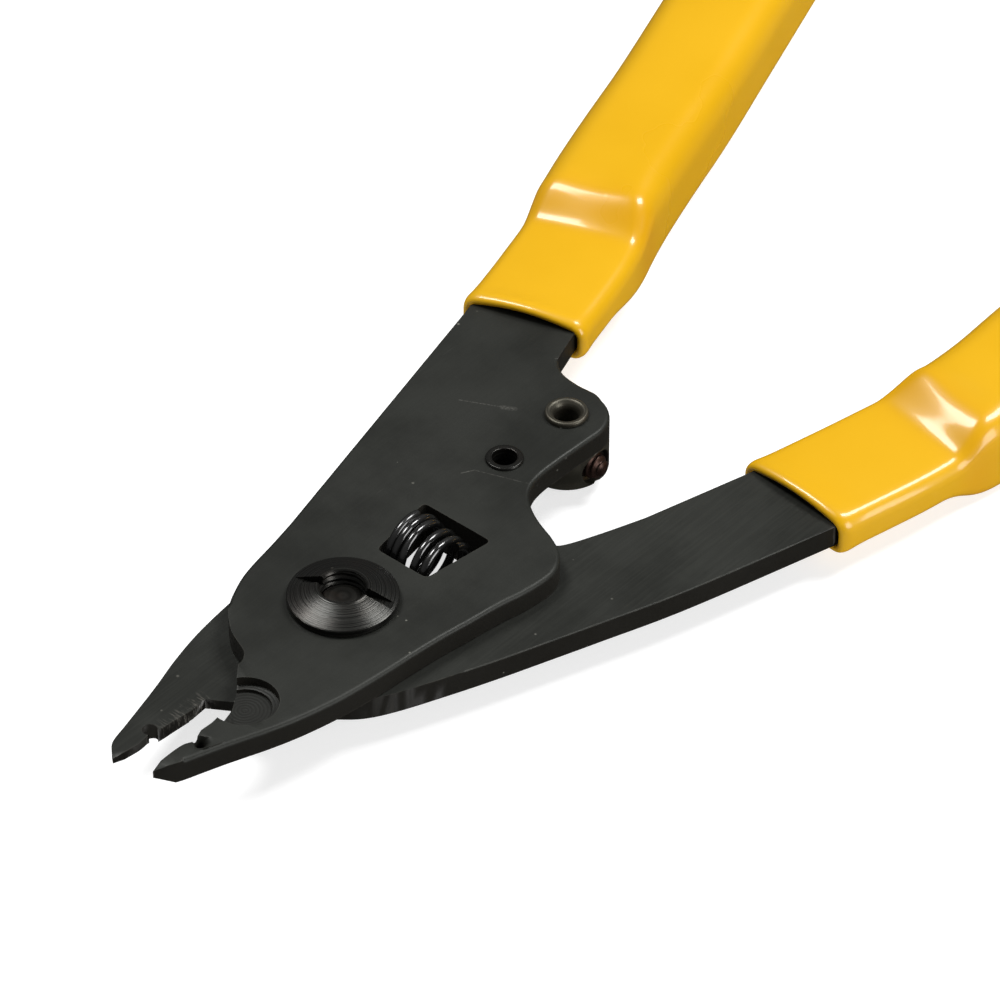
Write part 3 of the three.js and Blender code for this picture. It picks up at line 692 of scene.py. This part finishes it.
spring_black, spring_tree, spring_shader = coated("spring_black", 0.18, 0.0, coat=0.5, coat_roughness=0.06)
spring_place = spring_tree.node("ShaderNodeTexCoord").outputs["Object"]
drawn_lines = spring_tree.noise(spring_tree.stretched(spring_place, (1500, 500, 500)), 1.0, 3.0)
wire_colour = spring_tree.mix(spring_tree.span(drawn_lines, 0.4, 0.7), shown(8, 8, 8), shown(18, 18, 17))
spring_tree.link(wire_colour, spring_shader.inputs["Base Color"])
spring_tree.link(spring_tree.span(drawn_lines, 0.3, 0.7, 0.13, 0.26), spring_shader.inputs["Roughness"])
finish_relief(spring_tree, spring_shader, drawn_lines, 0.12, 0.02 * MM)
spring_mesh = tube_mesh("return_spring_wire", wire_path, 320, wire_radius, 14)
spring_mesh.materials.append(spring_black)
spring = bpy.data.objects.new("return_spring_wire", spring_mesh)
scene.collection.objects.link(spring)
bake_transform(spring)
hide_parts("return_spring")


# ---------------------------------------------------------------------------------------------
# The stop: a round post riveted in the front half's ear, its neck rolled over as an eyelet,
# with a set screw through it that meets the rear half's edge when the jaws close.
# ---------------------------------------------------------------------------------------------
post_low, post_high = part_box("stop_post")
post_axis = Vector(((post_low.x + post_high.x) / 2, (post_low.y + post_high.y) / 2, 0))
post_rows = [(0, 0.0), (4.0, 0.0), (4.2, 0.04), (4.36, 0.2), (4.4, 0.35), (4.4, 3.9), (4.3, 4.08),
             (1.9, 4.1), (1.9, 6.6), (2.15, 6.6), (2.25, 6.68), (2.25, 6.9), (2.2, 7.04), (2.08, 7.12),
             (1.92, 7.15), (1.78, 7.12), (1.6, 6.98), (1.45, 6.8), (1.33, 6.6), (1.27, 6.35), (1.25, 6.0),
             (1.25, 4.3), (1.15, 4.25), (0, 4.25)]
post_mesh = turned_mesh("stop_post_turning", post_rows, 72, None, 40)
mark_rings(post_mesh)
post_mesh.transform(Matrix.Translation(post_axis))
screw_turn = Matrix.Rotation(math.radians(-1), 4, "Z") @ Matrix.Rotation(math.radians(90), 4, "Y")
screw_way = Matrix.Translation((post_axis.x, post_axis.y, 2.0 * MM)) @ screw_turn
post_bore = [(0, -8), (1.5, -8), (1.5, 3.0), (1.62, 3.15), (2.0, 3.3), (2.0, 8), (0, 8)]
bore_mesh = turned_mesh("cross_bore", post_bore, 40)
bore_mesh.transform(screw_way)
post_mesh = cut_away(post_mesh, bore_mesh)
smooth_by_angle(post_mesh, 40)
burnished = blackened_turning("burnished_turning", shown(66, 64, 56), 3.0, 0.38, 0.12, 0.2)
as_piece("stop_post_turned", post_mesh, "front", "turned_steel", burnished, "stop_post")

stop_pitch = 0.62
stop_tip, stop_tail, stop_r = 5.2, -2.8, 1.45
stop_rows = [(0, stop_tail + 1.5), (0.72, stop_tail + 1.5), (0.75, stop_tail + 0.08), (0.82, stop_tail),
             (1.2, stop_tail)]
stop_rows += [(stop_r - 0.02 - 0.5 * max(0, z - stop_tip + 1.3) ** 1.3, z)
              for z in thread_rows(stop_tail + 0.2, stop_tip - 0.3, 10, stop_pitch)]
stop_rows += [(0.68, stop_tip - 0.16), (0.5, stop_tip - 0.05), (0.25, stop_tip), (0, stop_tip)]


def stop_radius(angle, radius, height):
    if radius > 0.8 and stop_tail + 0.1 < height < stop_tip - 0.2:
        fade = min(1, (height - stop_tail) / 0.4, (stop_tip - height) / 0.4)
        return radius - thread_depth(angle, height, stop_pitch, 0.24) * max(0.2, fade)
    return radius


stop_mesh = turned_mesh("stop_screw_thread", stop_rows, 48, stop_radius, 32)
mark_rings(stop_mesh)
stop_mesh.transform(screw_way)
rusty = blackened_turning("browned_thread", shown(52, 36, 30), 3.0, 0.36, 0.2, 0.3)
as_piece("stop_screw_thread", stop_mesh, "stop_screw", "brown_screw", rusty, "stop_screw")


# ---------------------------------------------------------------------------------------------
# The limit pin: a small tubular rivet in the front plate. The rear half's edge comes up against
# its lower end when the spring opens the tool. Only its rolled top shows.
# ---------------------------------------------------------------------------------------------
pin_low, pin_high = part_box("limit_pin")
pin_axis = Vector(((pin_low.x + pin_high.x) / 2, (pin_low.y + pin_high.y) / 2, 0))
pin_solid = merged_cad_faces("limit_pin")
ease_edges(pin_solid, lambda p: True, 0.1 * MM, 3)
pin_mesh = finished_mesh(pin_solid, "limit_pin_softened", 30)
mark_rings(pin_mesh, pin_axis)
as_piece("limit_pin_rolled", pin_mesh, "front", "turned_steel", turned_black, "limit_pin")


# ---------------------------------------------------------------------------------------------
# The sleeves: soft vinyl tubes pushed over the handles. Each has a thick rolled lip at its
# mouth, hugs the flat tang, steps up where the pressed channel starts and has a closed end.
# ---------------------------------------------------------------------------------------------
class Sleeve:
    """One sleeve's shape, in mm, in a frame whose Y axis runs along the handle's flat tang. The spine
    is its middle line. mouth, step and sink are distances along it: the lip, the ramp on the upper
    side and the stretch over which the lower side drops. up and down are how far those go."""

    def __init__(self, turn, spine, middle, half, step_half, mouth, slant, step, up, down, sink, mirror):
        self.turn, self.middle, self.mirror = turn, middle, mirror
        self.half, self.step_half = half, step_half
        self.mouth, self.slant, self.step = mouth, slant, step
        self.up, self.down, self.sink = up, down, sink
        self.spine = self.smooth_spine(spine)

    def smooth_spine(self, points):
        """Points every half millimetre or so along a curve through the given ones and a little past."""
        dense = []
        p = [np.array(q, float) for q in points]
        p = [2 * p[0] - p[1]] + p + [2 * p[-1] - p[-2]]
        for a, b, c, d in zip(p, p[1:], p[2:], p[3:]):
            for t in np.linspace(0, 1, 24, endpoint=False):
                dense.append(0.5 * (2 * b + (c - a) * t + (2 * a - 5 * b + 4 * c - d) * t * t
                                    + (3 * b - a - 3 * c + d) * t ** 3))
        dense += [p[-2], 1.5 * p[-2] - 0.5 * p[-3]]
        return np.array(dense)

    def at(self, along):
        """The spine's point and direction at a distance from the pivot."""
        steps = np.linalg.norm(np.diff(self.spine, axis=0), axis=1)
        where = self.spine[0][1] + np.concatenate([[0], np.cumsum(steps)])
        x = np.interp(along, where, self.spine[:, 0])
        y = np.interp(along, where, self.spine[:, 1])
        ahead, behind = along + 0.6, along - 0.6
        dx = np.interp(ahead, where, self.spine[:, 0]) - np.interp(behind, where, self.spine[:, 0])
        dy = np.interp(ahead, where, self.spine[:, 1]) - np.interp(behind, where, self.spine[:, 1])
        size = math.hypot(dx, dy)
        return x, y, dx / size, dy / size

    def point(self, along, across, height):
        """The part's own coordinates, in metres, of a place on the sleeve."""
        shift = self.slant * across * max(0.0, 1 - (along - self.mouth) / 14)
        x, y, dx, dy = self.at(along + shift)
        x, y = x + dy * across, y - dx * across
        c, s = math.cos(self.turn), math.sin(self.turn)
        x, y = c * x - s * y, s * x + c * y
        z = self.middle + height
        return (self.mirror * x * MM, y * MM, z * MM)


def ease(value, low, high):
    t = min(1, max(0, (value - low) / (high - low)))
    return t * t * (3 - 2 * t)


def rounded_ring(half_wide, low, high, upper, lower, arch):
    """Points round a section, as (across, height): corners rounded by upper and lower, straight runs
    between them, and an upper side that may be arched in its middle."""
    arc_steps, run_points = 7, 3
    corners = ((half_wide - upper, high - upper, upper), (upper - half_wide, high - upper, upper),
               (lower - half_wide, low + lower, lower), (half_wide - lower, low + lower, lower))
    points = []
    for quarter, (cx, cz, corner) in enumerate(corners):
        for k in range(arc_steps + 1):
            a = math.pi / 2 * (quarter + k / arc_steps)
            points.append((cx + corner * math.cos(a), cz + corner * math.sin(a)))
        last = points[-1]
        next_x, next_z, next_corner = corners[(quarter + 1) % 4]
        a = math.pi / 2 * (quarter + 1)
        first = (next_x + next_corner * math.cos(a), next_z + next_corner * math.sin(a))
        for k in range(1, run_points + 1):
            t = k / (run_points + 1)
            points.append((last[0] + (first[0] - last[0]) * t, last[1] + (first[1] - last[1]) * t))
    middle_height = (low + high) / 2
    crown = 0.35
    return [(x, z + arch * max(0, 1 - (x / (0.85 * half_wide)) ** 2) - crown * (x / half_wide) ** 2
             if z > middle_height else z) for x, z in points]


def sleeve_mesh(name, sleeve):
    """The sleeve as one closed skin: round end, body, step, rolled lip, and the inner face. The
    attribute fold_shade, painted shade, is high inside the mouth and in the fold of the step."""
    plate = 1.25
    wall = 1.1
    nose = 5.5
    end = sleeve.mouth + 84.0
    mouth_rings = 6
    rings = []

    def section(along, shrink=0.0, arch=0.0):
        raised = ease(along, sleeve.step - 0.6, sleeve.step + 4.8)
        sunk = ease(along, *sleeve.sink)
        flank = ease(along, sleeve.step - 6, sleeve.step + 4)
        half = sleeve.half + (sleeve.step_half - sleeve.half) * flank - shrink
        high = plate + wall + (sleeve.up + 0.15) * raised - shrink
        low = -plate - wall - (sleeve.down + 0.15) * sunk + shrink
        upper = 1.6 + 1.6 * ease(along, sleeve.step - 0.6, sleeve.step + 6)
        lower = 1.3 + 0.4 * ease(along, sleeve.step - 3, sleeve.step + 6)
        least = 0.3 if shrink < 1 else 0.9
        return rounded_ring(half, low, high, max(least, upper - shrink), max(least, lower - shrink), arch)

    for angle in range(85, 0, -11):
        inset = 4.0 * (1 - math.cos(math.radians(angle)))
        rings.append((end - nose + nose * math.sin(math.radians(angle)), section(end - 6, inset)))
    along = end - nose
    while along > sleeve.step + 8:
        rings.append((along, section(along)))
        along -= 2.6
    while along > sleeve.mouth + 4.3:
        foot = 0.25 * math.exp(-((along - sleeve.step - 0.8) / 1.5) ** 2)
        ridge = 0.4 * math.exp(-((along - sleeve.step - 4.8) / 1.8) ** 2)
        rings.append((along, section(along, 0.0, foot - ridge)))
        along -= 0.75
    lip = ((3.6, 0.0, 0.0), (2.6, -0.02, 0.1), (1.8, -0.07, 0.25), (1.2, -0.12, 0.35),
           (0.7, -0.1, 0.4), (0.3, 0.02, 0.42), (0.04, 0.2, 0.42), (-0.04, 0.44, 0.42),
           (0.04, 0.68, 0.42), (0.24, 0.86, 0.42))
    for forward, shrink, arch in lip:
        rings.append((sleeve.mouth + forward, section(sleeve.mouth + 0.4, shrink, arch)))
    for forward, arch in ((0.7, 0.4), (2.0, 0.25), (6.0, 0.0), (9.0, 0.0)):
        rings.append((sleeve.mouth + forward, section(sleeve.mouth + 0.4, 0.95, arch)))
    verts, faces = [], []
    size = len(rings[0][1])
    for along, ring in rings:
        verts += [sleeve.point(along, across, height) for across, height in ring]
    for i in range(len(rings) - 1):
        for k in range(size):
            n = (k + 1) % size
            faces.append((i * size + k, i * size + n, (i + 1) * size + n, (i + 1) * size + k))
    faces.append(tuple(range(size)))
    last = (len(rings) - 1) * size
    faces.append(tuple(reversed(range(last, last + size))))
    mesh = closed_skin(name, verts, faces)
    # Painted shade: fold_shade marks where the vinyl is coloured a deeper orange, inside the mouth and in
    # the fold of the step.
    shade = mesh.attributes.new("fold_shade", "FLOAT", "POINT")
    for i, (along, _) in enumerate(rings):
        inner = 1.0 if i >= len(rings) - mouth_rings else 0.0
        fold = math.exp(-((along - sleeve.step - 2.2) / 2.6) ** 2) * 0.7
        for k in range(size):
            shade.data[i * size + k].value = max(inner, fold)
    mesh.polygons.foreach_set("use_smooth", [True] * len(mesh.polygons))
    return modified(mesh, "SUBSURF", levels=1)


vinyl, vinyl_tree, vinyl_shader = coated("yellow_vinyl", 0.3, 0.0, 0.4, 0.1, specular=0.28)
vinyl_place = vinyl_tree.node("ShaderNodeTexCoord").outputs["Object"]
vinyl_clouds = vinyl_tree.noise(vinyl_place, 60.0, 3.0)
vinyl_grain = vinyl_tree.noise(vinyl_place, 2400.0, 2.0)
vinyl_fold_shade = vinyl_tree.node("ShaderNodeAttribute", attribute_name="fold_shade")
vinyl_colour = vinyl_tree.mix(vinyl_tree.span(vinyl_clouds, 0.3, 0.7), (0.525, 0.284, 0.0005, 1),
                              (0.550, 0.300, 0.0005, 1))
# Painted shade: a deeper orange inside the mouth and in the fold of the step.
vinyl_colour = vinyl_tree.mix(vinyl_tree.math("MULTIPLY", vinyl_fold_shade.outputs["Fac"], 0.35), vinyl_colour,
                              (0.52, 0.2, 0.001, 1))
vinyl_dust = vinyl_tree.place(dust_group, Vector=vinyl_place, Scale=300.0, Size=0.1, Share=0.1)["Mask"]
dust_share = vinyl_tree.math("MULTIPLY", vinyl_dust, 0.35)
vinyl_colour = vinyl_tree.mix(dust_share, vinyl_colour, shown(250, 225, 150))
vinyl_tree.link(vinyl_colour, vinyl_shader.inputs["Base Color"])
vinyl_tree.link(vinyl_tree.span(vinyl_clouds, 0.3, 0.7, 0.26, 0.36), vinyl_shader.inputs["Roughness"])
vinyl_height = vinyl_tree.math("ADD", vinyl_tree.math("MULTIPLY", vinyl_grain, 0.15),
                               vinyl_tree.noise(vinyl_place, 320.0, 2.0))
finish_relief(vinyl_tree, vinyl_shader, vinyl_height, 0.06, 0.1 * MM)

front_sleeve = Sleeve(
    turn=math.radians(13.75),
    spine=[(-4.45, 36), (-4.5, 50), (-4.7, 57), (-5.1, 62), (-6.25, 71), (-7.0, 80), (-7.6, 89),
           (-9.0, 103), (-10.4, 117), (-12.0, 133)],
    middle=5.35, half=6.9, step_half=6.65, mouth=47.2, slant=0.05, step=62.4, up=2.75, down=1.9,
    sink=(53.5, 64.5), mirror=1)
rear_sleeve = Sleeve(
    turn=math.radians(18.4),
    spine=[(-7.25, 36), (-7.2, 44), (-6.5, 52), (-5.8, 59), (-5.0, 65), (-4.4, 70.5), (-2.7, 76.5),
           (-0.7, 81.6), (2.4, 90), (6.8, 103), (10.2, 115), (13.2, 129)],
    middle=2.75, half=7.0, step_half=6.8, mouth=48.0, slant=-0.13, step=64.7, up=2.6, down=1.9,
    sink=(62, 69), mirror=-1)
for body, sleeve in (("front", front_sleeve), ("rear", rear_sleeve)):
    as_piece(body + "_grip_vinyl", sleeve_mesh(body + "_grip_skin", sleeve), body, "yellow_vinyl", vinyl,
             body + "_grip")


# ---------------------------------------------------------------------------------------------
# The table, the light and the camera. A white table under three wide, soft lamps.
# ---------------------------------------------------------------------------------------------
low_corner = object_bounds()[0]
table_mesh = bpy.data.meshes.new("table_top")
table_half = 3.0
table_z = low_corner[2] - 0.05 * MM
corners = [(x * table_half, y * table_half, table_z) for x, y in ((-1, -1), (1, -1), (1, 1), (-1, 1))]
table_mesh.from_pydata(corners, [], [(0, 1, 2, 3)])
table = bpy.data.objects.new("table_top", table_mesh)
scene.collection.objects.link(table)
table.visible_glossy = False
table_white, table_tree, table_shader = coated("table_white", 0.9, 0.0, specular=0.1)
table_place = table_tree.node("ShaderNodeTexCoord").outputs["Object"]
table_colour = table_tree.mix(table_tree.noise(table_place, 30.0), (0.43, 0.43, 0.43, 1),
                              (0.45, 0.45, 0.45, 1))
table_tree.link(table_colour, table_shader.inputs["Base Color"])
table_shader.inputs["Emission Color"].default_value = (1, 1, 1, 1)
table_shader.inputs["Emission Strength"].default_value = 0.7
table_mesh.materials.append(table_white)

world = bpy.data.worlds.new("studio")
scene.world = world
world.use_nodes = True
sky = Group(world.node_tree)
sky_way = sky.node("ShaderNodeSeparateXYZ")
sky.link(sky.node("ShaderNodeTexCoord").outputs["Generated"], sky_way.inputs["Vector"])
background = world.node_tree.nodes["Background"]
sky_colour = sky.mix(sky.span(sky_way.outputs["Z"], -0.1, 0.6), (0.08, 0.08, 0.08, 1), (0.5, 0.5, 0.5, 1))
sky.link(sky_colour, background.inputs["Color"])
background.inputs["Strength"].default_value = 0.42
scene.view_settings.view_transform = "Standard"

looked_at = Vector((1.67, 21.5, 6.6)) * MM


def facing(place):
    """The rotation that points a lamp or a camera at the tool."""
    return (looked_at - place).to_track_quat("-Z", "Y").to_euler()


def lamp(name, azimuth, elevation, distance, size, size_y, power):
    """A soft area lamp that looks at the tool; azimuth is in degrees from +X, in the table's plane."""
    data = bpy.data.lights.new(name, "AREA")
    data.shape = "RECTANGLE"
    data.size, data.size_y = size, size_y
    data.energy = power
    lit = bpy.data.objects.new(name, data)
    a, e = math.radians(azimuth), math.radians(elevation)
    way = Vector((math.cos(e) * math.cos(a), math.cos(e) * math.sin(a), math.sin(e)))
    lit.location = looked_at + distance * way
    lit.rotation_euler = facing(lit.location)
    scene.collection.objects.link(lit)


lamp("left_softbox", 188, 63, 0.8, 0.22, 0.3, 5.2)
lamp("right_softbox", 68, 57, 0.8, 0.22, 0.3, 5.2)
lamp("low_fill", 10, 20, 0.9, 0.4, 0.5, 5.2)

camera_data = bpy.data.cameras.new("camera")
camera_data.lens = 220.3
camera_data.sensor_width = 36
camera = bpy.data.objects.new("camera", camera_data)
camera.location = (0.3073, -0.3289, 0.4037)
camera.rotation_euler = facing(camera.location)
scene.collection.objects.link(camera)
scene.camera = camera
